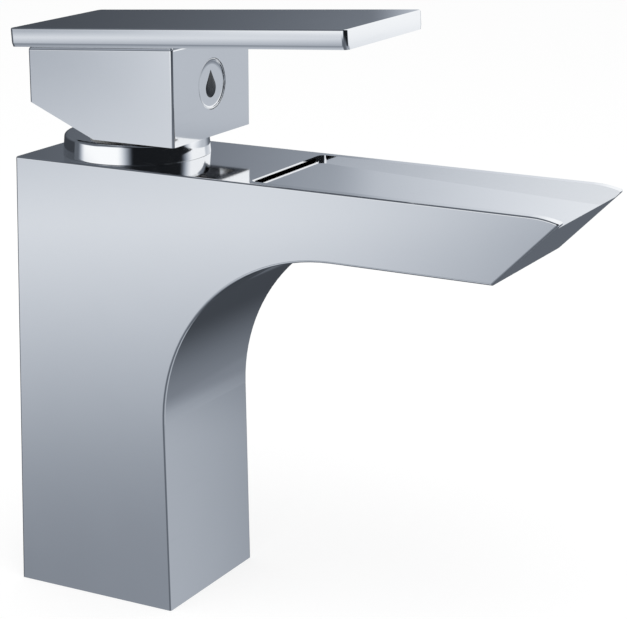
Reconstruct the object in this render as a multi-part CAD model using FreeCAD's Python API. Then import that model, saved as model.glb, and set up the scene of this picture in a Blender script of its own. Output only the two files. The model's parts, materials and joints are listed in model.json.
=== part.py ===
"""Waterfall basin faucet: single lever, square column and open trough spout.

Units are millimetres. The origin is the middle of the column's footprint on the
deck, +X runs along the spout, +Z is up and the deck's top is z = 0.
"""
import FreeCAD, Part
import os
from math import cos, radians, sin, sqrt, tan

Vector = FreeCAD.Vector
X_AXIS = Vector(1, 0, 0)
Y_AXIS = Vector(0, 1, 0)
Z_AXIS = Vector(0, 0, 1)

# ---------------------------------------------------------------- dimensions
# Column and spout, one casting.
body_width = 48.0
base_depth = 55.0
body_height = 135.0
back_draft = 1.55
front_draft = 1.0
arch_radius = 55.0
spout_thickness = 20.0
spout_reach = 150.0
nose_angle = 45.0
nose_drop = 1.3
nose_run = 8.5
column_edge_round = 0.7
rim_edge_round = 0.5
casting_wall = 3.2
foot_wall = 6.0
foot_height = 5.0

# Open trough on top of the spout, and the mouth that feeds it.
trough_start = 54.5
trough_rear_depth = 1.2
trough_front_depth = 3.0
trough_wall = 3.0
trough_corner = 2.0
mouth_height = 0.7
mouth_length = 5.0
mouth_side = 3.0
chamber_ramp = 6.0
chamber_height = 4.4
chamber_cover = 2.4
feed_bore = 9.0
feed_x = 30.0
gallery_height = 7.0
gallery_width = 5.6
gallery_roof = 4.0

# Single-lever cartridge, 35 mm pattern.
axis_x = 3.5
cartridge_diameter = 35.0
cartridge_fit = 0.25
well_depth = 26.0
base_thickness = 5.0
disc_seat_depth = 1.0
disc_seat_fit = 0.1
fixed_disc_diameter = 26.0
fixed_disc_thickness = 4.5
moving_disc_diameter = 21.6
moving_disc_thickness = 4.0
disc_gap = 0.03
disc_set_back = 2.3
mixing_depth = 2.2
mixing_width = 15.0
mixing_from = -8.3
mixing_to = 2.6
carrier_thickness = 4.0
carrier_skirt = 1.4
carrier_skirt_depth = 2.0
carrier_fit = 0.02
housing_wall = 2.5
housing_roof = 2.4
neck_diameter = 28.0
neck_wall = 1.95
neck_rise = 8.0
guide_fit = 0.05
guide_gap = 0.3
guide_flange = 1.4
guide_flange_step = 2.4
guide_below_neck = 0.4
guide_slot_length = 16.0
stem_square = 8.0
stem_fit = 0.1
stem_top_above_rim = 27.0
stem_shank = 4.0
stem_shoulder_below_pivot = 6.0
pivot_above_rim = 3.0
pin_diameter = 3.0
pin_fit = 0.03
pin_end_gap = 0.8
ball_diameter = 5.0
ball_fit = 0.08
stem_arm = 13.6
inlet_port_x = 3.2
inlet_port_y = 6.6
inlet_port = 4.6
outlet_port_x = -6.0
outlet_port = 5.5
seal_width = 1.3
seal_thickness = 1.4
peg_diameter = 4.0
peg_length = 3.0
peg_radius = 13.5
disc_ring_width = 1.2
disc_ring_height = 1.0
disc_ring_radius = 7.6

# Retaining nut and its cover.
nut_thread = 38.0
nut_thread_top = 0.5
nut_collar = 34.0
nut_collar_height = 4.0
nut_fit = 0.05
nut_bore_gap = 0.4
nut_slot_width = 4.0
nut_slot_depth = 2.0
nut_slots = 4
cover_radius = 21.8
cover_height = 6.0
cover_round = 1.0
cover_skin = 1.5
cover_neck_gap = 0.4

# Handle block and lever plate.
block_width = 43.0
block_back = -19.7
block_front = 30.0
block_above_rim = 7.0
block_cut_run = 22.2
block_cut_rise = 9.4
block_wall = 3.0
block_edge_round = 0.8
block_top_round = 1.2
socket_wall = 5.0
socket_above_rim = 12.5
screw_height_above_rim = 22.4
plate_length = 111.0
plate_width = 47.0
plate_thickness = 5.5
plate_back = -24.8
plate_back_above_rim = 37.8
plate_rake = 3.6
plate_under_chamfer = 0.8
plate_edge_round = 0.4
plate_corner_round = 1.5
plate_screw = 4.0
plate_screw_head = 7.0
plate_screw_head_height = 2.4
plate_screw_grip = 3.2
plate_screw_side = 12.0
plate_screw_inset = 9.0
screw_hole_fit = 0.05

# Handle set screw and the index plug that hides it.
set_screw = 5.0
set_screw_length = 5.0
set_screw_fit = 0.05
hex_key = 2.5
hex_depth = 2.2
access_bore = 6.4
access_tube_wall = 2.2
plug_diameter = 15.0
plug_flange = 1.6
plug_set_back = 0.1
plug_dish_depth = 0.4
plug_dish_rim = 0.5
plug_dish_slope = 1.4
plug_stem_length = 5.0
plug_fit = 0.05
drop_height = 8.2
drop_width = 5.6
inlay_depth = 0.5
inlay_fit = 0.02

# Underside: inlets, stud and the fixing kit below the deck.
pocket_height = 92.0
inlet_thread = 10.0
inlet_depth = 14.0
waterway_wall = 2.4
boss_end_height = 20.0
boss_web = 5.0
stud_thread = 8.0
stud_x = -12.0
stud_boss_diameter = 14.0
stud_engagement = 16.0
stud_below_deck = 48.0
stud_slot_width = 1.2
stud_slot_depth = 2.0
stud_end_chamfer = 0.8
thread_fit = 0.05
gasket_inset = 1.5
gasket_width = 3.0
gasket_thickness = 1.5
gasket_fit = 0.1
deck_thickness = 18.0
washer_diameter = 46.0
washer_slot = 26.0
washer_slot_back = -2.0
washer_stud_hole = 8.6
washer_edge_round = 0.5
rubber_washer_thickness = 3.0
steel_washer_thickness = 2.0
nut_across_flats = 13.0
nut_height = 6.5

# ------------------------------------------------------------ derived places
half_width = body_width / 2
half_depth = base_depth / 2
rim_z = body_height
underside_z = rim_z - spout_thickness
well_radius = cartridge_diameter / 2 + cartridge_fit
well_floor_z = rim_z - well_depth
pivot_z = rim_z + pivot_above_rim
ball_z = pivot_z - stem_arm
mouth_floor_z = rim_z - trough_rear_depth
lip_floor_z = rim_z - trough_front_depth
mouth_roof_z = mouth_floor_z + mouth_height
mouth_back = trough_start - mouth_length
chamber_roof_z = rim_z - chamber_cover
chamber_floor_z = chamber_roof_z - chamber_height
mouth_width = body_width - 2 * (trough_wall + mouth_side)
chamber_back = feed_x - feed_bore / 2
gallery_z = well_floor_z - gallery_roof - gallery_height / 2
screw_z = rim_z + screw_height_above_rim
housing_radius = cartridge_diameter / 2 - housing_wall
neck_radius = neck_diameter / 2
guide_radius = neck_radius - neck_wall - guide_fit
base_top_z = well_floor_z + base_thickness
fixed_disc_z = base_top_z - disc_seat_depth
moving_disc_z = fixed_disc_z + fixed_disc_thickness + disc_gap
carrier_z = moving_disc_z + moving_disc_thickness
carrier_top_z = carrier_z + carrier_thickness
guide_z = carrier_top_z + guide_gap
housing_roof_z = guide_z + guide_flange + guide_fit
shoulder_z = housing_roof_z + housing_roof
neck_top_z = rim_z + neck_rise
nut_top_z = rim_z + nut_collar_height
cover_top_z = rim_z + cover_height
stem_top_z = rim_z + stem_top_above_rim
block_bottom_z = rim_z + block_above_rim
plate_back_z = rim_z + plate_back_above_rim
moving_disc_x = axis_x - disc_set_back
socket_half = stem_square / 2 + stem_fit
socket_front_x = axis_x + socket_half + socket_wall
plug_front_x = block_front - plug_set_back
plug_face_x = plug_front_x - plug_dish_depth
inlet_places = [(axis_x + inlet_port_x, side * inlet_port_y) for side in (1, -1)]
outlet_x = axis_x + outlet_port_x
clamp_z = -deck_thickness


# ------------------------------------------------------------------- helpers
def box(x0, x1, y0, y1, z0, z1):
    """Box between two corners."""
    return Part.makeBox(x1 - x0, y1 - y0, z1 - z0, Vector(x0, y0, z0))


def rod(radius, z0, z1, x=0.0, y=0.0):
    """Upright cylinder."""
    return Part.makeCylinder(radius, z1 - z0, Vector(x, y, z0))


def pipe(outer, inner, z0, z1, x=0.0, y=0.0):
    """Upright tube."""
    return rod(outer, z0, z1, x, y).cut(rod(inner, z0 - 1, z1 + 1, x, y))


def level_rod(radius, x0, x1, y, z):
    """Cylinder along X."""
    return Part.makeCylinder(radius, x1 - x0, Vector(x0, y, z), X_AXIS)


def line(a, b):
    """Straight edge between two side-view points (x, z)."""
    return Part.makeLine(Vector(a[0], 0, a[1]), Vector(b[0], 0, b[1]))


def arc(a, middle, b):
    """Circular edge through three side-view points (x, z)."""
    points = [Vector(p[0], 0, p[1]) for p in (a, middle, b)]
    return Part.Arc(*points).toShape()


def side_prism(edges, width):
    """Side-view outline extruded over a width centred on y = 0."""
    face = Part.Face(Part.Wire(edges))
    face.translate(Vector(0, -width / 2, 0))
    return face.extrude(Vector(0, width, 0))


def side_polygon(points, width):
    """Side-view polygon extruded over a width centred on y = 0."""
    closed = points + points[:1]
    edges = [line(a, b) for a, b in zip(closed, closed[1:])]
    return side_prism(edges, width)


def turned(points, x=axis_x):
    """Solid of revolution about an upright axis from (radius, z) points."""
    closed = points + points[:1]
    vectors = [Vector(x + p[0], 0, p[1]) for p in closed]
    face = Part.Face(Part.makePolygon(vectors))
    return face.revolve(Vector(x, 0, 0), Z_AXIS, 360)


def rounded(shape, radius, wanted):
    """Fillet the edges that wanted() picks."""
    edges = [edge for edge in shape.Edges if wanted(edge)]
    return shape.makeFillet(radius, edges)


def chamfered(shape, size, wanted):
    """Chamfer the edges that wanted() picks."""
    edges = [edge for edge in shape.Edges if wanted(edge)]
    return shape.makeChamfer(size, edges)


def union(shapes):
    """Several solids as one."""
    return shapes[0].multiFuse(shapes[1:]).removeSplitter()


def less(shape, cuts):
    """A solid without several others."""
    return shape.cut(cuts[0].multiFuse(cuts[1:])).removeSplitter()


def hexagon(across_flats, height):
    """Upright six-sided bar on the origin."""
    radius = across_flats / 2 / cos(radians(30))
    turns = [radians(angle) for angle in range(0, 361, 60)]
    corners = [Vector(radius * cos(turn), radius * sin(turn), 0) for turn in turns]
    return Part.Face(Part.makePolygon(corners)).extrude(Vector(0, 0, height))


def is_upright(edge):
    """True for a straight edge along Z."""
    if len(edge.Vertexes) != 2:
        return False
    a, b = (vertex.Point for vertex in edge.Vertexes)
    return abs(a.x - b.x) < 1e-6 and abs(a.y - b.y) < 1e-6


def raked(shape):
    """Move a shape from the lever plate's own frame to its place."""
    moved = shape.copy()
    moved.rotate(Vector(0, 0, 0), Y_AXIS, -plate_rake)
    moved.translate(Vector(plate_back, 0, plate_back_z))
    return moved


def plate_under_z(x, below=0.0):
    """Height of the plate's underside, or of a face below it, at a place."""
    rake = radians(plate_rake)
    return plate_back_z + (x - plate_back) * tan(rake) - (plate_thickness + below) / cos(rake)


def back_x(z, inset=0.0):
    """Where the leaning back face, or a face inset from it, is at a height."""
    return -half_depth + z * tan(radians(back_draft)) + inset


# --------------------------------------------------------------------- body
def arch_centre():
    """Centre of the arch that joins the column's front to the spout."""
    lean = radians(front_draft)
    centre_z = underside_z - arch_radius
    touch_z = centre_z - arch_radius * sin(lean)
    touch_x = half_depth - touch_z * tan(lean)
    return touch_x + arch_radius * cos(lean), centre_z


def front_edges(radius, end_x):
    """Front face, arch and spout underside, of the skin or of the core."""
    lean = radians(front_draft)
    x, z = arch_centre()
    start = (x - radius * cos(lean), z - radius * sin(lean))
    middle = (x - radius * sqrt(0.5), z + radius * sqrt(0.5))
    top = (x, z + radius)
    foot = (start[0] + start[1] * tan(lean), 0.0)
    edges = [line(foot, start), arc(start, middle, top), line(top, (end_x, top[1]))]
    return edges, foot


def body_blank():
    """Outer form of the column and the spout."""
    slope = tan(radians(nose_angle))
    under_end = (spout_reach - spout_thickness * slope, underside_z)
    tip = (spout_reach - nose_drop * slope, rim_z - nose_drop)
    roll_start = (tip[0] - nose_run, rim_z)
    roll_radius = (nose_run ** 2 + nose_drop ** 2) / (2 * nose_drop)
    roll_sag = roll_radius - sqrt(roll_radius ** 2 - nose_run ** 2 / 4)
    roll_middle = (roll_start[0] + nose_run / 2, rim_z - roll_sag)
    edges, foot = front_edges(arch_radius, under_end[0])
    back_foot = (back_x(0.0), 0.0)
    back_top = (back_x(rim_z), rim_z)
    edges += [line(under_end, tip), arc(tip, roll_middle, roll_start)]
    edges += [line(roll_start, back_top), line(back_top, back_foot), line(back_foot, foot)]
    blank = side_prism(edges, body_width)

    def is_side_edge(edge):
        ends = [vertex.Y for vertex in edge.Vertexes]
        return all(abs(abs(y) - half_width) < 1e-6 for y in ends) and abs(ends[0] - ends[-1]) < 1e-6

    def is_column_edge(edge):
        on_rim = edge.BoundBox.ZMin > rim_z - nose_drop - 1e-6
        on_foot = edge.BoundBox.ZMax < 1e-6
        return is_side_edge(edge) and not on_rim and not on_foot

    def is_rim_edge(edge):
        box_of = edge.BoundBox
        level = box_of.ZMin > rim_z - 1e-6
        at_side = box_of.YLength < 1e-6 and abs(abs(box_of.YMin) - half_width) < 1e-6
        at_back = box_of.XLength < 1e-6 and box_of.XMax < 0
        return level and (at_side or at_back)

    blank = rounded(blank, column_edge_round, is_column_edge)
    return rounded(blank, rim_edge_round, is_rim_edge)


def trough():
    """Space of the open channel, a little deeper at the lip than at the mouth."""
    beyond = spout_reach + 5
    above = rim_z + 5
    fall = (mouth_floor_z - lip_floor_z) / (spout_reach - trough_start)
    outline = [
        (trough_start, mouth_floor_z),
        (beyond, mouth_floor_z - fall * (beyond - trough_start)),
        (beyond, above),
        (trough_start, above),
    ]
    space = side_polygon(outline, body_width - 2 * trough_wall)

    def is_rear_corner(edge):
        return is_upright(edge) and abs(edge.Vertexes[0].X - trough_start) < 1e-6

    return rounded(space, trough_corner, is_rear_corner)


def feed_way(wall):
    """Gallery below the cartridge and the riser in front of it, grown by a wall."""
    side = gallery_width / 2 + wall
    low = gallery_z - gallery_height / 2 - wall
    high = gallery_z + gallery_height / 2 + wall
    gallery = box(outlet_x - side, feed_x, -side, side, low, high)
    return gallery.fuse(rod(feed_bore / 2 + wall, low, chamber_floor_z + 1, feed_x))


def chamber():
    """Flat space under the deck that spreads the water and narrows to the mouth."""
    ramp_end = mouth_back - chamber_ramp
    outline = [
        (trough_start + trough_corner, mouth_floor_z),
        (mouth_back, mouth_floor_z),
        (ramp_end, chamber_floor_z),
        (chamber_back, chamber_floor_z),
        (chamber_back, chamber_roof_z),
        (ramp_end, chamber_roof_z),
        (mouth_back, mouth_roof_z),
        (trough_start + trough_corner, mouth_roof_z),
    ]
    return side_polygon(outline, mouth_width)


def water_spaces():
    """Every passage that holds water, from the inlets to the mouth."""
    outlet = rod(outlet_port / 2, gallery_z, well_floor_z + 1, outlet_x)
    spaces = [chamber(), feed_way(0.0), outlet]
    for x, y in inlet_places:
        spaces.append(rod(inlet_port / 2, boss_end_height, well_floor_z + 1, x, y))
        thread_end = boss_end_height + inlet_depth
        spaces.append(rod(inlet_thread / 2, boss_end_height - 1, thread_end, x, y))
    return spaces


def dry_core():
    """Hollow of the casting, open at the foot, round its inner bosses."""
    slope = tan(radians(nose_angle))
    top_z = lip_floor_z - casting_wall
    low_z = underside_z + casting_wall
    nose_wall = casting_wall / cos(radians(nose_angle))
    low_end = (spout_reach - (rim_z - low_z) * slope - nose_wall, low_z)
    high_end = (low_end[0] + (top_z - low_z) * slope, top_z)
    under_z = chamber_floor_z - casting_wall
    edges, foot = front_edges(arch_radius + casting_wall, low_end[0])
    well_front = axis_x + well_radius + casting_wall
    route = [low_end, high_end, (trough_start, top_z), (mouth_back - chamber_ramp, under_z)]
    route += [(well_front, under_z), (well_front, pocket_height)]
    route.append((back_x(pocket_height, casting_wall), pocket_height))
    route += [(back_x(0.0, casting_wall), 0.0), foot]
    edges += [line(a, b) for a, b in zip(route, route[1:])]
    core = side_prism(edges, body_width - 2 * casting_wall)
    above = pocket_height + 1
    keep = [feed_way(waterway_wall)]
    for x, y in inlet_places:
        keep.append(rod(inlet_thread / 2 + waterway_wall, boss_end_height, above, x, y))
    keep.append(rod(stud_boss_diameter / 2, boss_end_height, above, stud_x))
    keep.append(frame_slab(0.0, foot_wall, 0.0, foot_height))
    web = boss_web / 2
    keep.append(box(back_x(0.0), inlet_places[0][0], -web, web, boss_end_height, above))
    return less(core, keep)


def frame_slab(outer, inner, z0, z1):
    """Flat frame between two insets from the footprint's edge."""
    slabs = []
    for inset, extra in ((outer, 0), (inner, 1)):
        x = half_depth - inset
        y = half_width - inset
        slabs.append(box(-x, x, -y, y, z0 - extra, z1 + extra))
    return slabs[0].cut(slabs[1])


def gasket_frame(fit, height):
    """Rubber frame in the foot, narrower than its groove by a fit each side."""
    return frame_slab(gasket_inset + fit, gasket_inset + gasket_width - fit, 0.0, height)


def peg_places():
    """Two locating pegs of the cartridge, across its axis."""
    return [(axis_x, side * peg_radius) for side in (1, -1)]


def faucet_body():
    """The whole casting with its bores."""
    cuts = [trough(), dry_core(), gasket_frame(0.0, gasket_thickness)] + water_spaces()
    cuts.append(rod(well_radius, well_floor_z, rim_z + 1, axis_x))
    cuts.append(rod(nut_thread / 2 + nut_fit, shoulder_z - nut_fit, rim_z + 1, axis_x))
    stud_top = boss_end_height + stud_engagement
    stud_radius = stud_thread / 2 + thread_fit
    cuts.append(rod(stud_radius, boss_end_height - 1, stud_top + thread_fit, stud_x))
    for x, y in peg_places():
        radius = peg_diameter / 2 + cartridge_fit
        cuts.append(rod(radius, well_floor_z - peg_length - cartridge_fit, well_floor_z + 1, x, y))
    return less(body_blank(), cuts)


# ---------------------------------------------------------------- cartridge
def cartridge_base():
    """Bottom of the cartridge with its ports, pegs and seal recesses."""
    base = rod(cartridge_diameter / 2, well_floor_z, base_top_z, axis_x)
    peg_end = well_floor_z - peg_length
    pegs = [rod(peg_diameter / 2, peg_end, well_floor_z + 1, x, y) for x, y in peg_places()]
    cuts = [rod(fixed_disc_diameter / 2 + disc_seat_fit, fixed_disc_z, base_top_z + 1, axis_x)]
    for x, y, bore in port_places():
        cuts.append(rod(bore / 2, well_floor_z - 1, base_top_z, x, y))
        seal_top = well_floor_z + seal_thickness
        cuts.append(rod(bore / 2 + seal_width, well_floor_z - 1, seal_top, x, y))
    return less(union([base] + pegs), cuts)


def port_places():
    """Place and bore of the three ports."""
    ports = [(x, y, inlet_port) for x, y in inlet_places]
    return ports + [(outlet_x, 0.0, outlet_port)]


def port_seals():
    """Rubber rings between the base and the floor of the well."""
    top = well_floor_z + seal_thickness
    rings = []
    for x, y, bore in port_places():
        rings.append(pipe(bore / 2 + seal_width - disc_gap, bore / 2, well_floor_z, top, x, y))
    return Part.makeCompound(rings)


def fixed_disc():
    """Ceramic disc with the three ports."""
    top = fixed_disc_z + fixed_disc_thickness
    disc = rod(fixed_disc_diameter / 2, fixed_disc_z, top, axis_x)
    ports = [rod(bore / 2, fixed_disc_z - 1, top + 1, x, y) for x, y, bore in port_places()]
    return less(disc, ports)


def moving_disc():
    """Ceramic disc with the mixing recess in its lapped face."""
    disc = rod(moving_disc_diameter / 2, moving_disc_z, carrier_z, moving_disc_x)
    half = mixing_width / 2
    recess = box(
        moving_disc_x + mixing_from,
        moving_disc_x + mixing_to,
        -half,
        half,
        moving_disc_z - 1,
        moving_disc_z + mixing_depth,
    )
    recess = rounded(recess, half * 0.6, is_upright)
    return disc.cut(recess)


def disc_carrier():
    """Driver that grips the moving disc and takes the ball of the stem."""
    radius = moving_disc_diameter / 2 + carrier_skirt
    plate = rod(radius, carrier_z - carrier_skirt_depth, carrier_top_z, moving_disc_x)
    seat = rod(moving_disc_diameter / 2 + carrier_fit, moving_disc_z, carrier_z, moving_disc_x)
    ring = disc_ring_groove(carrier_fit)
    socket = rod(ball_diameter / 2 + ball_fit, carrier_z - 1, carrier_top_z + 1, axis_x)
    return less(plate, [seat, ring, socket])


def disc_ring_groove(fit):
    """Ring space between the moving disc and its carrier, grown by a fit."""
    outer = disc_ring_radius + disc_ring_width / 2 + fit
    inner = disc_ring_radius - disc_ring_width / 2 - fit
    return pipe(outer, inner, carrier_z, carrier_z + disc_ring_height + fit, moving_disc_x)


def disc_ring():
    """Rubber ring between the moving disc and its carrier."""
    return disc_ring_groove(0.0)


def cartridge_housing():
    """Plastic shell of the cartridge, with the neck that guides the stem."""
    outline = [
        (housing_radius, base_top_z),
        (cartridge_diameter / 2, base_top_z),
        (cartridge_diameter / 2, shoulder_z),
        (neck_radius, shoulder_z),
        (neck_radius, neck_top_z),
        (neck_radius - neck_wall, neck_top_z),
        (neck_radius - neck_wall, housing_roof_z),
        (housing_radius, housing_roof_z),
    ]
    return turned(outline)


def stem_guide():
    """Turning yoke in the neck that carries the stem's pin."""
    top = neck_top_z - guide_below_neck
    yoke = rod(guide_radius, guide_z, top, axis_x)
    flange = rod(guide_radius + guide_flange_step, guide_z, guide_z + guide_flange, axis_x)
    slot_half = guide_slot_length / 2
    side = stem_square / 2 + stem_fit
    slot = box(axis_x - slot_half, axis_x + slot_half, -side, side, guide_z - 1, top + 1)
    bore = stem_pin_rod(pin_diameter / 2 + pin_fit / 2, guide_radius + 1)
    return less(yoke.fuse(flange), [slot, bore])


def stem_pin_rod(radius, half_length):
    """Cylinder across the axis at the pivot."""
    start = Vector(axis_x, -half_length, pivot_z)
    return Part.makeCylinder(radius, 2 * half_length, start, Y_AXIS)


def stem_pin():
    """Steel pin that the stem rocks on."""
    return stem_pin_rod(pin_diameter / 2, guide_radius - pin_end_gap)


def stem():
    """Metal stem: ball and shank below the pivot, square bar above."""
    half = stem_square / 2
    shoulder = pivot_z - stem_shoulder_below_pivot
    bar = box(axis_x - half, axis_x + half, -half, half, shoulder, stem_top_z)
    bar = chamfered(bar, half * 0.15, lambda edge: edge.BoundBox.ZMin > stem_top_z - 1e-6)
    shank = rod(stem_shank / 2, ball_z, shoulder + 1, axis_x)
    ball = Part.makeSphere(ball_diameter / 2, Vector(axis_x, 0, ball_z))
    return union([bar, shank, ball]).cut(stem_pin_rod(pin_diameter / 2 + pin_fit, half + 1))


# ------------------------------------------------------------ nut and cover
def retaining_nut():
    """Threaded ring that holds the cartridge down, with spanner slots."""
    bore = neck_radius + nut_bore_gap
    thread_top = rim_z + nut_thread_top
    outline = [
        (bore, shoulder_z),
        (nut_thread / 2, shoulder_z),
        (nut_thread / 2, thread_top),
        (nut_collar / 2, thread_top),
        (nut_collar / 2, nut_top_z),
        (bore, nut_top_z),
    ]
    ring = turned(outline)
    slots = []
    for k in range(nut_slots):
        half = nut_slot_width / 2
        low = nut_top_z - nut_slot_depth
        slot = box(axis_x, axis_x + nut_collar, -half, half, low, nut_top_z + 1)
        slot.rotate(Vector(axis_x, 0, 0), Z_AXIS, 360 * k / nut_slots)
        slots.append(slot)
    return less(ring, slots)


def bonnet_cover():
    """Round ring over the nut, screwed on its collar."""
    inner = nut_collar / 2 + nut_fit
    neck = neck_radius + cover_neck_gap
    relief = nut_thread / 2 + cover_neck_gap
    under = cover_top_z - cover_skin
    thread_top = rim_z + nut_thread_top + cover_neck_gap
    outline = [
        (cover_radius, rim_z),
        (cover_radius, cover_top_z),
        (neck, cover_top_z),
        (neck, under),
        (inner, under),
        (inner, thread_top),
        (relief, thread_top),
        (relief, rim_z),
    ]

    def is_top_edge(edge):
        on_top = edge.BoundBox.ZMin > cover_top_z - 1e-6
        return on_top and edge.BoundBox.XMax > axis_x + cover_radius - 1e-6

    return rounded(turned(outline), cover_round, is_top_edge)


# ------------------------------------------------------------------- handle
def plate_screw_places():
    """Screw places on the plate's underside, in the plate's own frame."""
    rake = cos(radians(plate_rake))
    ends = (block_back + plate_screw_inset, block_front - plate_screw_inset)
    places = []
    for x in ends:
        for side in (1, -1):
            places.append(((x - plate_back) / rake, side * plate_screw_side))
    return places


def lever_plate():
    """Flat lever with a chamfered under-edge."""
    half = plate_width / 2
    plate = box(0, plate_length, -half, half, -plate_thickness, 0)

    def is_lower_side(edge):
        low = edge.BoundBox.ZMax < -plate_thickness + 1e-6
        return low and edge.BoundBox.YLength < 1e-6

    def is_corner(edge):
        return edge.BoundBox.XLength < 1e-6 and edge.BoundBox.ZLength > plate_under_chamfer * 1.5

    def is_upper(edge):
        return edge.BoundBox.ZMin > -1e-6

    plate = chamfered(plate, plate_under_chamfer, is_lower_side)
    plate = rounded(plate, plate_corner_round, is_corner)
    plate = rounded(plate, plate_edge_round, is_upper)
    radius = plate_screw / 2 + screw_hole_fit
    low = -plate_thickness - 1
    high = -plate_thickness + plate_screw_grip + screw_hole_fit
    holes = [rod(radius, low, high, x, y) for x, y in plate_screw_places()]
    return raked(less(plate, holes))


def plate_screws():
    """Four screws from inside the block up into the plate."""
    screws = []
    head_top = -plate_thickness - block_wall
    for x, y in plate_screw_places():
        head = rod(plate_screw_head / 2, head_top - plate_screw_head_height, head_top, x, y)
        shank = rod(plate_screw / 2, head_top - 1, -plate_thickness + plate_screw_grip, x, y)
        key = hexagon(hex_key, hex_depth)
        key.translate(Vector(x, y, head_top - plate_screw_head_height - screw_hole_fit))
        screws.append(raked(head.fuse(shank).cut(key)))
    return Part.makeCompound(screws)


def block_outline(inset, top_gap, floor_drop):
    """Side view of the block, inset by a wall, with its raised rear corner."""
    back = block_back + inset
    front = block_front - inset
    cut_end = block_back + block_cut_run
    bottom = block_bottom_z - floor_drop
    rear = block_bottom_z + block_cut_rise * (cut_end - back) / block_cut_run - floor_drop
    return [
        (back, plate_under_z(back, top_gap)),
        (front, plate_under_z(front, top_gap)),
        (front, bottom),
        (cut_end, bottom),
        (back, rear),
    ]


def handle_block():
    """Hollow block between the stem and the plate."""
    outer = side_polygon(block_outline(0.0, 0.0, 0.0), block_width)
    outer = rounded(outer, block_edge_round, is_upright)

    def is_top_edge(edge):
        return all(abs(v.Z - plate_under_z(v.X)) < 0.01 for v in edge.Vertexes)

    outer = rounded(outer, block_top_round, is_top_edge)
    cavity = side_polygon(block_outline(block_wall, block_wall, 5.0), block_width - 2 * block_wall)
    socket_outer = socket_half + socket_wall
    socket_base = rim_z + socket_above_rim
    roof = block_outline(0.0, 0.0, 0.0)[0][1]
    boss = box(
        axis_x - socket_outer,
        axis_x + socket_outer,
        -socket_outer,
        socket_outer,
        socket_base,
        roof,
    )
    tube_radius = access_bore / 2 + access_tube_wall
    tube = level_rod(tube_radius, socket_front_x - 1, block_front - block_wall / 2, 0, screw_z)
    shell = union([outer.cut(cavity), boss, tube])
    socket = box(
        axis_x - socket_half,
        axis_x + socket_half,
        -socket_half,
        socket_half,
        socket_base - 1,
        stem_top_z + stem_fit,
    )
    screw_radius = set_screw / 2 + set_screw_fit
    plug_radius = plug_diameter / 2 + plug_fit
    beyond = block_front + 1
    cuts = [socket]
    cuts.append(level_rod(screw_radius, axis_x, socket_front_x + 1, 0, screw_z))
    cuts.append(level_rod(access_bore / 2, socket_front_x, beyond, 0, screw_z))
    cuts.append(level_rod(plug_radius, block_front - plug_flange, beyond, 0, screw_z))
    hole_radius = plate_screw / 2 + screw_hole_fit
    low = -plate_thickness - block_wall - 1
    for x, y in plate_screw_places():
        cuts.append(raked(rod(hole_radius, low, 1 - plate_thickness, x, y)))
    return less(shell, cuts)


def handle_set_screw():
    """Grub screw that clamps the block to the stem."""
    start = axis_x + stem_square / 2 + set_screw_fit
    screw = level_rod(set_screw / 2, start, start + set_screw_length, 0, screw_z)
    key = hexagon(hex_key, hex_depth + 1)
    key.rotate(Vector(0, 0, 0), Y_AXIS, 90)
    key.translate(Vector(start + set_screw_length - hex_depth, 0, screw_z))
    return screw.cut(key)


def drop_solid(grow, start_x, end_x):
    """Drop-shaped bar along X, grown by a fit."""
    radius = drop_width / 2 + grow
    centre_z = screw_z - drop_height / 2 + drop_width / 2
    apex_z = screw_z + drop_height / 2 + grow
    lift = apex_z - centre_z
    touch_z = centre_z + radius ** 2 / lift
    touch_y = radius * sqrt(1 - (radius / lift) ** 2)
    apex = Vector(start_x, 0, apex_z)
    left = Vector(start_x, -touch_y, touch_z)
    right = Vector(start_x, touch_y, touch_z)
    low = Vector(start_x, 0, centre_z - radius)
    edges = [Part.makeLine(apex, right), Part.Arc(right, low, left).toShape()]
    edges.append(Part.makeLine(left, apex))
    return Part.Face(Part.Wire(edges)).extrude(Vector(end_x - start_x, 0, 0))


def index_plug():
    """Round dished plug in the block's front face, with the seat of its inlay."""
    seat_x = block_front - plug_flange
    flange = level_rod(plug_diameter / 2, seat_x, plug_front_x, 0, screw_z)
    stub_start = seat_x - plug_stem_length
    stub = level_rod(access_bore / 2 - plug_fit, stub_start, seat_x + 0.5, 0, screw_z)
    rim = plug_diameter / 2 - plug_dish_rim
    floor = rim - plug_dish_slope
    dish = Part.makeCone(floor, rim, plug_dish_depth, Vector(plug_face_x, 0, screw_z), X_AXIS)
    inlay_seat = drop_solid(inlay_fit, plug_face_x - inlay_depth, plug_face_x + 0.1)
    return flange.fuse(stub).cut(dish).cut(inlay_seat)


def index_inlay():
    """Dark drop set flush in the plug."""
    return drop_solid(0.0, plug_face_x - inlay_depth, plug_face_x)


# --------------------------------------------------------------- fixing kit
def base_gasket():
    """Rubber frame between the foot and the deck."""
    return gasket_frame(gasket_fit, gasket_thickness)


def mounting_stud():
    """Threaded stud from the body down through the deck."""
    top = boss_end_height + stud_engagement
    stud = rod(stud_thread / 2, -stud_below_deck, top, stud_x)
    stud = chamfered(stud, stud_end_chamfer, lambda edge: len(edge.Vertexes) == 1)
    half = stud_slot_width / 2
    reach = stud_thread
    slot_top = stud_slot_depth - stud_below_deck
    slot = box(stud_x - reach, stud_x + reach, -half, half, -stud_below_deck - 1, slot_top)
    return stud.cut(slot)


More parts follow.
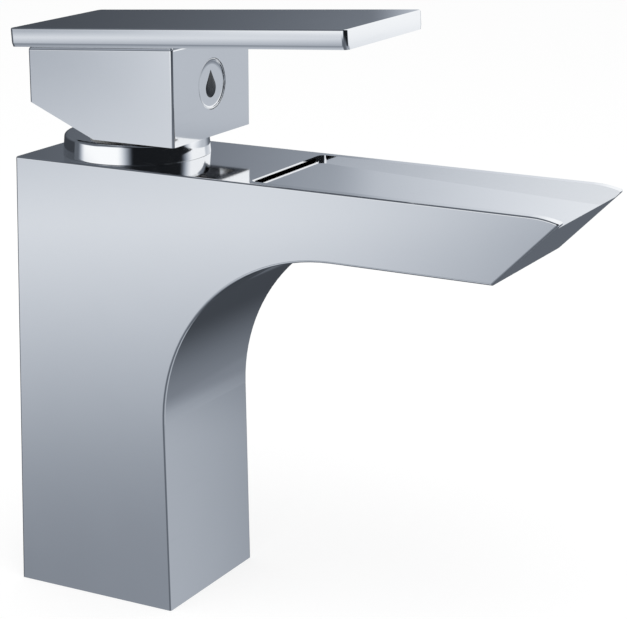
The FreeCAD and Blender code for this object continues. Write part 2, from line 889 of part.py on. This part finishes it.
def horseshoe(top, thickness):
    """Open washer that leaves room for the two supply hoses."""
    disc = rod(washer_diameter / 2, top - thickness, top)
    side = washer_slot / 2
    slot = box(washer_slot_back, washer_diameter, -side, side, top - thickness - 1, top + 1)
    slot = rounded(slot, side * 0.5, lambda edge: is_upright(edge) and edge.Vertexes[0].X < 0)
    hole = rod(washer_stud_hole / 2, top - thickness - 1, top + 1, stud_x)
    washer = less(disc, [slot, hole])
    return rounded(washer, washer_edge_round, is_upright)


def rubber_washer():
    """Soft washer against the deck's underside."""
    return horseshoe(clamp_z, rubber_washer_thickness)


def steel_washer():
    """Stiff washer under the soft one."""
    return horseshoe(clamp_z - rubber_washer_thickness, steel_washer_thickness)


def clamp_nut():
    """Hexagon nut on the stud."""
    top = clamp_z - rubber_washer_thickness - steel_washer_thickness
    nut = hexagon(nut_across_flats, nut_height)
    corner = nut_across_flats / 2 / cos(radians(30))
    cone = Part.makeCone(corner + nut_height, corner - 1, nut_height + 1, Vector(0, 0, 0))
    turned_cone = Part.makeCone(corner - 1, corner + nut_height, nut_height + 1, Vector(0, 0, -1))
    nut = nut.common(cone).common(turned_cone)
    nut.translate(Vector(stud_x, 0, top - nut_height))
    return nut.cut(rod(stud_thread / 2 + thread_fit, top - nut_height - 1, top + 1, stud_x))


# -------------------------------------------------------------------- write
NODES = [
    faucet_body,
    cartridge_base,
    port_seals,
    fixed_disc,
    moving_disc,
    disc_carrier,
    disc_ring,
    cartridge_housing,
    stem_guide,
    stem_pin,
    stem,
    retaining_nut,
    bonnet_cover,
    handle_block,
    lever_plate,
    plate_screws,
    handle_set_screw,
    index_plug,
    index_inlay,
    base_gasket,
    mounting_stud,
    rubber_washer,
    steel_washer,
    clamp_nut,
]

os.makedirs("parts", exist_ok=True)
for node in NODES:
    shape = node()
    shape.exportStep("parts/" + node.__name__ + ".step")
    print(node.__name__, "volume", round(shape.Volume, 1), "valid", shape.isValid())
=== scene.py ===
"""Studio scene of a waterfall basin faucet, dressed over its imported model."""
import json
from math import acos, cos, pi, radians, sin, tan

import bmesh
import bpy
from mathutils import Matrix, Vector


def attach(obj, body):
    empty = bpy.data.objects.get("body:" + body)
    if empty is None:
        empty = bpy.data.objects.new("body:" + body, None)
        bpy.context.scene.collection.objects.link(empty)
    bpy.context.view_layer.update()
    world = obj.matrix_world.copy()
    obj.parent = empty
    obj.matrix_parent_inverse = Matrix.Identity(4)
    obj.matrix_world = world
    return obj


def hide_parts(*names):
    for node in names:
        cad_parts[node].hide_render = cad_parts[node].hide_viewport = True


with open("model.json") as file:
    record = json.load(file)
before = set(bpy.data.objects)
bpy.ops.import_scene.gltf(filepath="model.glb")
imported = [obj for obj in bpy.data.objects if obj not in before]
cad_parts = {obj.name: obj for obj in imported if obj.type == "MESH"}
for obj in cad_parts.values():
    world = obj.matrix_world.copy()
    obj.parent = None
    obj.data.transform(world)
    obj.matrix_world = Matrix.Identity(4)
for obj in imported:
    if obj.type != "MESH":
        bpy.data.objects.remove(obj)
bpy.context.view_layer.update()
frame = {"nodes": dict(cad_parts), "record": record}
scene = bpy.context.scene
scene.view_settings.view_transform = "Standard"
MM = 0.001


# ------------------------------------------------------------------- camera
def place_camera():
    """Camera at the photograph's view of the faucet."""
    azimuth = radians(28.44)
    elevation = radians(15.83)
    distance = 597.24
    target = Vector((63.47, 0.0, 93.67)) * MM
    level = cos(elevation)
    back = Vector((sin(azimuth) * level, -cos(azimuth) * level, sin(elevation)))
    data = bpy.data.cameras.new("camera")
    data.sensor_width = 36.0
    data.lens = 117.55
    data.clip_start = 0.02
    data.clip_end = 20.0
    camera = bpy.data.objects.new("camera", data)
    camera.location = target + back * distance * MM
    camera.rotation_mode = "QUATERNION"
    camera.rotation_quaternion = (-back).to_track_quat("-Z", "Y")
    scene.collection.objects.link(camera)
    scene.camera = camera


# ------------------------------------------------------------- node helpers
class Graph:
    """Short names for building a node tree."""

    def __init__(self, tree):
        self.tree = tree
        self.tree.nodes.clear()

    def add(self, kind, **settings):
        """New node of a kind with its settings."""
        node = self.tree.nodes.new(kind)
        for name, value in settings.items():
            setattr(node, name, value)
        return node

    def link(self, source, target):
        self.tree.links.new(source, target)

    def math(self, operation, *inputs):
        node = self.add("ShaderNodeMath", operation=operation)
        for socket, value in zip(node.inputs, inputs):
            if isinstance(value, (int, float)):
                socket.default_value = value
            else:
                self.link(value, socket)
        return node.outputs[0]

    def fade(self, value, start, end):
        """Smooth step of a value from 0 at start to 1 at end."""
        node = self.add("ShaderNodeMapRange", interpolation_type="SMOOTHSTEP")
        node.inputs["From Min"].default_value = start
        node.inputs["From Max"].default_value = end
        self.link(value, node.inputs["Value"])
        return node.outputs[0]

    def ramp(self, value, low, high, start, end):
        """Colour ramp between two colours."""
        node = self.add("ShaderNodeValToRGB")
        for element, place, color in zip(node.color_ramp.elements, (start, end), (low, high)):
            element.position = place
            element.color = (*color, 1.0)
        self.link(value, node.inputs[0])
        return node.outputs[0]

    def stretched(self, place, scale, rotation=(0.0, 0.0, 0.0)):
        """Place turned by a rotation and stretched by a scale."""
        node = self.add("ShaderNodeMapping")
        node.inputs["Rotation"].default_value = rotation
        node.inputs["Scale"].default_value = scale
        self.link(place, node.inputs["Vector"])
        return node.outputs[0]

    def noise(self, place, scale, detail):
        """Noise of a scale and detail over a place."""
        node = self.add("ShaderNodeTexNoise")
        node.inputs["Scale"].default_value = scale
        node.inputs["Detail"].default_value = detail
        self.link(place, node.inputs["Vector"])
        return node.outputs[0]

    def background(self, color, strength):
        """World shader of a colour, given plain or by a socket."""
        node = self.add("ShaderNodeBackground")
        node.inputs["Strength"].default_value = strength
        if isinstance(color, tuple):
            node.inputs["Color"].default_value = (*color, 1.0)
        else:
            self.link(color, node.inputs["Color"])
        return node.outputs[0]

    def blend(self, share, first, second):
        """Second shader in place of the first where share is 1."""
        node = self.add("ShaderNodeMixShader")
        self.link(share, node.inputs[0])
        self.link(first, node.inputs[1])
        self.link(second, node.inputs[2])
        return node.outputs[0]


# -------------------------------------------------------------------- world
# Cards and flags round the faucet, as its chrome sees them. Each has a level,
# then the middle, half-width and soft edge of its azimuth, then the same of its
# elevation, in degrees. Azimuth 0 is along +Y, 90 along -X and 180 along -Y; the
# camera stands at 208. A later card hides an earlier one.
ROOM_LEVEL = 0.13
CARDS = {
    "shade under the spout": (0.06, (-3, 46, 16), (-56, 31, 1)),
    "low wall": (0.27, (-70, 52, 25), (-35, 25, 2)),
    "low panel": (0.44, (-65, 34.2, 3.2), (-40, 23, 1.5)),
    "dim backdrop": (0.52, (-40, 36, 13.5), (-1.6, 9.8, 1)),
    "white backdrop": (0.93, (-24, 50, 12.5), (40, 45.5, 1.1)),
    "grey screen behind": (0.50, (-2, 13, 4), (2, 7, 3)),
    "flag at the left": (0.05, (62.5, 35.7, 0.8), (-16, 24, 15)),
    "side card": (0.83, (143, 15.6, 10), (-13.3, 3.9, 7.4)),
    "softbox": (0.88, (169.5, 21.8, 5), (3.3, 14.4, 3.4)),
    "strip light": (0.99, (162, 46, 8.9), (-2.7, 3.7, 2.9)),
    "side sheet": (0.73, (153.4, 20.6, 18), (-50, 17, 25)),
    "flag by the camera": (0.01, (245, 51, 13.6), (24, 33, 3)),
    "flag overhead": (0.13, (117, 73, 12), (49, 23, 8.6)),
    "flag at the side": (0.23, (133.7, 21.4, 8.7), (10.6, 5.6, 5.5)),
}
DARK_TINT = (0.80, 0.92, 1.12)
LIGHT_TINT = (0.99, 1.0, 1.01)
PLAIN_LIGHT = 0.75
SEEN_LIGHT = 1.08
WHITE = (1.0, 1.0, 1.0)


def studio_level(g):
    """Brightness of the studio in a direction, with its cards painted in turn."""
    split = g.add("ShaderNodeSeparateXYZ")
    g.link(g.add("ShaderNodeTexCoord").outputs["Generated"], split.inputs[0])
    x, y, z = split.outputs
    azimuth = g.math("ARCTAN2", g.math("MULTIPLY", x, -1.0), y)
    azimuth = g.math("MULTIPLY", azimuth, 180 / pi)
    elevation = g.math("MULTIPLY", g.math("ARCSINE", z), 180 / pi)
    total = ROOM_LEVEL
    for level, (middle_x, wide, soft_x), (middle_z, high, soft_z) in CARDS.values():
        aside = g.math("PINGPONG", g.math("SUBTRACT", azimuth, middle_x), 180.0)
        above = g.math("ABSOLUTE", g.math("SUBTRACT", elevation, middle_z))
        across = g.fade(aside, wide + soft_x, wide - soft_x)
        up = g.fade(above, high + soft_z, high - soft_z)
        share = g.math("MULTIPLY", across, up)
        kept = g.math("MULTIPLY", g.math("SUBTRACT", 1.0, share), total)
        total = g.math("MULTIPLY_ADD", share, level, kept)
    return total


def build_world():
    """White to the camera, the studio to the chrome and plain light to the rest."""
    world = bpy.data.worlds.new("studio")
    scene.world = world
    world.use_nodes = True
    g = Graph(world.node_tree)
    level = studio_level(g)
    tinted = g.add("ShaderNodeVectorMath", operation="SCALE")
    g.link(g.ramp(level, DARK_TINT, LIGHT_TINT, 0.0, 1.0), tinted.inputs[0])
    g.link(level, tinted.inputs["Scale"])
    paths = g.add("ShaderNodeLightPath")
    plain = g.background(WHITE, PLAIN_LIGHT)
    seen = g.background(tinted.outputs[0], SEEN_LIGHT)
    white = g.background(WHITE, 1.0)
    glossy = g.blend(paths.outputs["Is Glossy Ray"], plain, seen)
    direct = g.blend(paths.outputs["Is Camera Ray"], glossy, white)
    output = g.add("ShaderNodeOutputWorld")
    g.link(direct, output.inputs["Surface"])


def build_floor():
    """Pale floor that takes the faucet's shadow and is white to the camera elsewhere."""
    reach, level = 6.0, -0.0001
    grey, glow_level = 0.30, 0.74
    mesh = bpy.data.meshes.new("floor")
    spots = ((-1, -1), (1, -1), (1, 1), (-1, 1))
    corners = [(reach * x, reach * y, level) for x, y in spots]
    mesh.from_pydata(corners, [], [(0, 1, 2, 3)])
    floor = bpy.data.objects.new("floor", mesh)
    scene.collection.objects.link(floor)
    floor.visible_glossy = False
    material = bpy.data.materials.new("floor")
    material.use_nodes = True
    g = Graph(material.node_tree)
    matt = g.add("ShaderNodeBsdfDiffuse")
    matt.inputs["Color"].default_value = (grey, grey, grey, 1.0)
    glow = g.add("ShaderNodeEmission")
    glow.inputs["Color"].default_value = (*WHITE, 1.0)
    camera_ray = g.add("ShaderNodeLightPath").outputs["Is Camera Ray"]
    g.link(g.math("MULTIPLY", camera_ray, glow_level), glow.inputs["Strength"])
    both = g.add("ShaderNodeAddShader")
    g.link(matt.outputs[0], both.inputs[0])
    g.link(glow.outputs[0], both.inputs[1])
    output = g.add("ShaderNodeOutputMaterial")
    g.link(both.outputs[0], output.inputs["Surface"])
    mesh.materials.append(material)


def build_lamp():
    """One large soft lamp above and in front."""
    place, aim = Vector((0.3, -0.5, 1.2)), Vector((0.05, 0, 0.08))
    data = bpy.data.lights.new("softbox", "AREA")
    data.shape = "RECTANGLE"
    data.size = 0.9
    data.size_y = 0.9
    data.energy = 6.0
    lamp = bpy.data.objects.new("softbox", data)
    lamp.location = place
    lamp.rotation_mode = "QUATERNION"
    lamp.rotation_quaternion = (aim - place).to_track_quat("-Z", "Y")
    lamp.visible_glossy = False
    scene.collection.objects.link(lamp)


# ---------------------------------------------------------------- materials
# One finish per material slot of the record. Each has a colour, then its
# metallic share, roughness, speckle, noise scale, relief and the grain's stretch.
EVEN = (1.0, 1.0, 1.0)
TURNED = (1.0, 1.0, 30.0)
FINISHES = {
    "plated_metal": ((0.90, 0.905, 0.91), 1.0, 0.06, 0.012, 60.0, 0.008, EVEN),
    "machined_brass": ((0.80, 0.63, 0.33), 1.0, 0.24, 0.06, 120.0, 0.12, TURNED),
    "steel": ((0.60, 0.60, 0.61), 1.0, 0.28, 0.08, 160.0, 0.10, TURNED),
    "cartridge_plastic": ((0.80, 0.80, 0.77), 0.0, 0.45, 0.02, 900.0, 0.10, EVEN),
    "driver_plastic": ((0.045, 0.045, 0.05), 0.0, 0.50, 0.10, 900.0, 0.10, EVEN),
    "ceramic": ((0.86, 0.85, 0.80), 0.0, 0.20, 0.02, 900.0, 0.02, EVEN),
    "rubber": ((0.03, 0.03, 0.03), 0.0, 0.65, 0.15, 700.0, 0.30, EVEN),
    "inlay_paint": ((0.03, 0.035, 0.045), 0.0, 0.25, 0.10, 900.0, 0.05, EVEN),
}
FINE_DETAIL = 5.0
CLOUD_SCALE = 35.0
CLOUD_DETAIL = 2.0
CLOUD_SHARE = 0.5
NOISE_LOW = 0.3
NOISE_HIGH = 0.7
GLOSS_SPREAD = 0.25
RELIEF_DEPTH = 0.1 * MM
STREAK_SCALE = 700.0
STREAK_DETAIL = 3.0
STREAK_TURN = (0.3, 0.2, 0.6)
STREAK_STRETCH = (1.0, 0.06, 1.0)
STREAK_START = 0.58
STREAK_FULL = 0.80
STREAK_WEAR = 0.5


def surface(name, color, metallic, roughness, speckle, scale, bump, grain):
    """Finish with fine noise, broad clouds and faint wiped streaks in its gloss."""
    material = bpy.data.materials.new(name)
    material.use_nodes = True
    g = Graph(material.node_tree)
    place = g.add("ShaderNodeTexCoord").outputs["Object"]
    fine = g.noise(g.stretched(place, grain), scale, FINE_DETAIL)
    clouds = g.noise(place, CLOUD_SCALE, CLOUD_DETAIL)
    fine_part = g.math("MULTIPLY", fine, 1 - CLOUD_SHARE)
    mixed = g.math("MULTIPLY_ADD", clouds, CLOUD_SHARE, fine_part)
    dark = tuple(c * (1 - speckle) for c in color)
    light = tuple(min(1.0, c * (1 + speckle)) for c in color)
    gloss = g.add("ShaderNodeMapRange")
    gloss.inputs["From Min"].default_value = NOISE_LOW
    gloss.inputs["From Max"].default_value = NOISE_HIGH
    gloss.inputs["To Min"].default_value = roughness * (1 - GLOSS_SPREAD)
    gloss.inputs["To Max"].default_value = roughness * (1 + GLOSS_SPREAD)
    g.link(mixed, gloss.inputs["Value"])
    relief = g.add("ShaderNodeBump")
    relief.inputs["Strength"].default_value = bump
    relief.inputs["Distance"].default_value = RELIEF_DEPTH
    g.link(fine, relief.inputs["Height"])
    wiped = g.stretched(place, STREAK_STRETCH, STREAK_TURN)
    streaks = g.noise(wiped, STREAK_SCALE, STREAK_DETAIL)
    streaked = g.fade(streaks, STREAK_START, STREAK_FULL)
    worn = g.math("MULTIPLY", streaked, roughness * STREAK_WEAR)
    shader = g.add("ShaderNodeBsdfPrincipled")
    shader.inputs["Metallic"].default_value = metallic
    g.link(g.ramp(mixed, dark, light, NOISE_LOW, NOISE_HIGH), shader.inputs["Base Color"])
    g.link(g.math("ADD", gloss.outputs[0], worn), shader.inputs["Roughness"])
    g.link(relief.outputs[0], shader.inputs["Normal"])
    output = g.add("ShaderNodeOutputMaterial")
    g.link(shader.outputs[0], output.inputs["Surface"])
    return material


# ------------------------------------------------------------- mesh helpers
SHARP_ANGLE = radians(30)
WELD_DISTANCE = 1e-5


def softened(corners, steps=6):
    """Closed outline through (x, y, radius) corners, each rounded by its radius."""
    outline = []
    for k, (x, y, radius) in enumerate(corners):
        here = Vector((x, y))
        if not radius:
            outline.append(here)
            continue
        before = (Vector(corners[k - 1][:2]) - here).normalized()
        after = (Vector(corners[(k + 1) % len(corners)][:2]) - here).normalized()
        half = before.angle(after) / 2
        centre = here + (before + after).normalized() * (radius / sin(half))
        start = here + before * (radius / tan(half)) - centre
        end = here + after * (radius / tan(half)) - centre
        sweep = start.angle_signed(end)
        for step in range(steps + 1):
            outline.append(centre + Matrix.Rotation(-sweep * step / steps, 2) @ start)
    return outline


def circle_angles(turns):
    """Angles of equal steps round a full turn."""
    return [2 * pi * k / turns for k in range(turns)]


def woven(rows, joined=False, bm=None):
    """Surface through closed rows of points, its ends joined to each other or capped."""
    bm = bm or bmesh.new()
    loops = [[bm.verts.new(point) for point in row] for row in rows]
    pairs = list(zip(loops, loops[1:]))
    if joined:
        pairs.append((loops[-1], loops[0]))
    else:
        bm.faces.new(reversed(loops[0]))
        bm.faces.new(loops[-1])
    for low, high in pairs:
        for k in range(len(low)):
            n = (k + 1) % len(low)
            bm.faces.new((low[k], low[n], high[n], high[k]))
    return bm


def lathed(outline, joined=False, turns=160):
    """Solid turned about the upright axis from (radius, z) points, or a ring if joined."""
    angles = circle_angles(turns)
    rows = [[(r * cos(a), r * sin(a), z) for a in angles] for r, z in outline]
    return woven(rows, joined)


def smooth(piece):
    """Shade a piece smooth up to the sharp angle, with flat faces kept flat."""
    piece.data.shade_smooth()
    split = piece.modifiers.new("sharp", "EDGE_SPLIT")
    split.split_angle = SHARP_ANGLE
    even = piece.modifiers.new("even", "WEIGHTED_NORMAL")
    even.keep_sharp = True


def add_piece(name, bm, body, node, slot, place=None):
    """Turn a bmesh in millimetres into the piece that stands for a node."""
    bmesh.ops.remove_doubles(bm, verts=bm.verts, dist=WELD_DISTANCE)
    bmesh.ops.recalc_face_normals(bm, faces=bm.faces)
    mesh = bpy.data.meshes.new(name)
    bm.to_mesh(mesh)
    bm.free()
    if place:
        mesh.transform(place)
    mesh.transform(Matrix.Scale(MM, 4))
    piece = bpy.data.objects.new(name, mesh)
    scene.collection.objects.link(piece)
    mesh.materials.append(finish[slot])
    smooth(piece)
    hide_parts(node)
    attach(piece, body)


# ------------------------------------------------------------- cover, lever
RIM_Z = 135.0
AXIS_X = 3.5


def bonnet_ring():
    """Round ring under the handle, a little narrower at its top."""
    foot_radius, top_radius, height, top_round = 22.05, 21.55, 6.0, 1.0
    mouth_radius, mouth_round, foot_round = 14.4, 0.3, 0.15
    collar_radius, ceiling = 17.1, 4.5
    skirt_radius, step = 19.4, 0.9
    outline = softened([
        (foot_radius, RIM_Z, foot_round),
        (top_radius, RIM_Z + height, top_round),
        (mouth_radius, RIM_Z + height, mouth_round),
        (mouth_radius, RIM_Z + ceiling, 0),
        (collar_radius, RIM_Z + ceiling, 0),
        (collar_radius, RIM_Z + step, 0),
        (skirt_radius, RIM_Z + step, 0),
        (skirt_radius, RIM_Z, foot_round),
    ])
    place = Matrix.Translation((AXIS_X, 0, 0))
    ring = lathed(outline, joined=True)
    add_piece("bonnet_ring", ring, "base", "bonnet_cover", "plated_metal", place)


def lever_skin():
    """Lever plate with rounded corners, soft top edges and raked lower sides."""
    length, half, thick = 111.0, 23.5, 5.5
    corner, edge, bevel_in, bevel_up = 1.5, 0.4, 0.5, 1.2
    corner_steps, edge_steps = 8, 6
    back_x, back_z, rake = -24.8, RIM_Z + 37.8, radians(3.6)

    def ring(z, inset, squeeze):
        r = corner - inset
        x0, x1, y = inset, length - inset, half - inset
        corners = [(x0, -y, r), (x1, -y, r), (x1, y, r), (x0, y, r)]
        outline = softened(corners, corner_steps)
        return [(px, py * (1 - squeeze / half), z) for px, py in outline]

    rows = [ring(-thick, 0.0, bevel_in), ring(bevel_up - thick, 0.0, 0.0)]
    for k in range(edge_steps + 1):
        angle = pi / 2 * k / edge_steps
        rows.append(ring(edge * (sin(angle) - 1), edge * (1 - cos(angle)), 0.0))
    place = Matrix.Translation((back_x, 0, back_z)) @ Matrix.Rotation(-rake, 4, "Y")
    add_piece("lever_skin", woven(rows), "handle", "lever_plate", "plated_metal", place)


# ------------------------------------------------------------- button, drop
MARK_Z = RIM_Z + 22.4


def index_button():
    """Round button in the block's front, dished inside a rolled rim, with its stub."""
    stub_radius, stub_end, seat_x = 3.15, 23.4, 28.4
    radius, chamfer, bead, bead_x = 7.5, 0.2, 0.3, 29.6
    dish_run, dish_depth, steps = 1.3, 0.1, 8
    outline = [(stub_radius, stub_end), (stub_radius, seat_x)]
    outline += [(radius - chamfer, seat_x), (radius, seat_x + chamfer)]
    for k in range(steps + 1):
        angle = pi * k / steps
        outline.append((radius - bead + bead * cos(angle), bead_x + bead * sin(angle)))
    for k in range(1, steps + 1):
        share = k / steps
        inset = 2 * bead + dish_run * share
        outline.append((radius - inset, bead_x - dish_depth * share ** 0.5))
    button = lathed(outline)
    place = Matrix.Translation((0, 0, MARK_Z)) @ Matrix.Rotation(pi / 2, 4, "Y")
    add_piece("index_button", button, "handle", "index_plug", "plated_metal", place)


def drop_outline(radius, apex, turns=48):
    """Drop outline round a circle's centre, pointed at the apex height above it."""
    touch = acos(radius / apex)
    points = [(apex, 0.0)]
    for k in range(turns + 1):
        angle = touch + (2 * pi - 2 * touch) * k / turns
        points.append((radius * cos(angle), radius * sin(angle)))
    return points


def index_drop():
    """Domed drop set in the middle of the button, from (inset, x) sections."""
    radius, apex, centre_z = 2.8, 5.4, MARK_Z - 1.3
    sections = ((0.0, 29.0), (0.0, 29.5), (0.15, 29.6), (0.5, 29.7), (1.2, 29.78), (2.0, 29.8))
    rows = []
    for inset, x in sections:
        drop = drop_outline(radius - inset, apex - inset * apex / radius)
        rows.append([(x, -y, centre_z + up) for up, y in drop])
    add_piece("index_drop", woven(rows), "handle", "index_inlay", "inlay_paint")


# ---------------------------------------------------------------- stud, nut
TO_STUD = Matrix.Translation((-12.0, 0, 0))
CREST_RADIUS = 4.0
THREAD_DEPTH = 0.62
PITCH = 1.25
THREAD_TURNS = 48
THREAD_STEPS = 8


def thread_radius(angle, z):
    """Radius of the stud's thread, with equal flats on its crests and in its roots."""
    slope, flat = 1.5, 0.25
    wave = abs((z / PITCH - angle / (2 * pi)) % 1.0 - 0.5) * 2
    return CREST_RADIUS - THREAD_DEPTH * min(1.0, max(0.0, wave * slope - flat))


def thread_levels(start, end):
    """Heights from start to end in even steps, about THREAD_STEPS to a pitch."""
    count = round((end - start) / PITCH * THREAD_STEPS)
    return [start + (end - start) * k / count for k in range(count + 1)]


def stud_thread():
    """Mounting stud with its rolled thread, its thinned ends and its driver slot."""
    low, high, end_radius = -48.0, 36.0, 3.3
    slot_depth, slot_angle = 2.0, 0.16
    slot_top = low + slot_depth

    def row(z, start=0.0, sweep=2 * pi, count=THREAD_TURNS):
        points = []
        for k in range(count):
            angle = start + sweep * k / THREAD_TURNS
            r = min(thread_radius(angle, z), end_radius + min(z - low, high - z))
            points.append((r * cos(angle), r * sin(angle), z))
        return points

    bm = woven([row(z) for z in thread_levels(slot_top, high)])
    for side in (0.0, pi):
        start, sweep = side + slot_angle, pi - 2 * slot_angle
        levels = thread_levels(low, slot_top)
        woven([row(z, start, sweep, THREAD_TURNS + 1) for z in levels], bm=bm)
    add_piece("stud_thread", bm, "base", "mounting_stud", "steel", TO_STUD)


def hexagon_nut():
    """Clamp nut with crowned corners and a thread that runs on the stud's."""
    top, height, half_across, face_radius = -23.0, 6.5, 6.5, 6.2
    slack, bore_radius, turns, crown_slope = 0.06, 4.5, 144, tan(radians(60))
    bottom = top - height
    angles = circle_angles(turns)

    def row(z, radii):
        return [(r * cos(a), r * sin(a), z) for r, a in zip(radii, angles)]

    def crown(z):
        """Hexagon cut by a cone that opens from the nearer end."""
        cone = face_radius + min(top - z, z - bottom) * crown_slope
        return [min(cone, half_across / cos(a % (pi / 3) - pi / 6)) for a in angles]

    def bore(z):
        """Thread with a little slack, opened at both ends."""
        lead_in = bore_radius - min(top - z, z - bottom)
        return [max(lead_in, thread_radius(a, z) + slack) for a in angles]

    levels = thread_levels(bottom, top)
    rows = [row(z, crown(z)) for z in levels]
    rows += [row(z, bore(z)) for z in reversed(levels)]
    nut = woven(rows, joined=True)
    add_piece("hexagon_nut", nut, "nut", "clamp_nut", "steel", TO_STUD)


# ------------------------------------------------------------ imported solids
SOFTENED_NODES = ("faucet_body", "handle_block")
MERGE_ANGLE = radians(0.5)
BEVEL_WIDTH = 0.35 * MM
BEVEL_STEPS = 3
BEVEL_ANGLE = radians(35)


def dress_nodes():
    """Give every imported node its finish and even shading."""
    slot_of = {part["node"]: part["material_slot"] for part in frame["record"]["subparts"]}
    for name, node in frame["nodes"].items():
        material = finish[slot_of[name]]
        for slot in node.material_slots:
            slot.material = material
        if name in SOFTENED_NODES:
            merge = node.modifiers.new("merge", "DECIMATE")
            merge.decimate_type = "DISSOLVE"
            merge.angle_limit = MERGE_ANGLE
            bevel = node.modifiers.new("bevel", "BEVEL")
            bevel.width = BEVEL_WIDTH
            bevel.segments = BEVEL_STEPS
            bevel.limit_method = "ANGLE"
            bevel.angle_limit = BEVEL_ANGLE
        smooth(node)


place_camera()
build_world()
build_floor()
build_lamp()
finish = {name: surface(name, *values) for name, values in FINISHES.items()}
dress_nodes()
bonnet_ring()
lever_skin()
index_button()
index_drop()
stud_thread()
hexagon_nut()
bpy.context.view_layer.update()
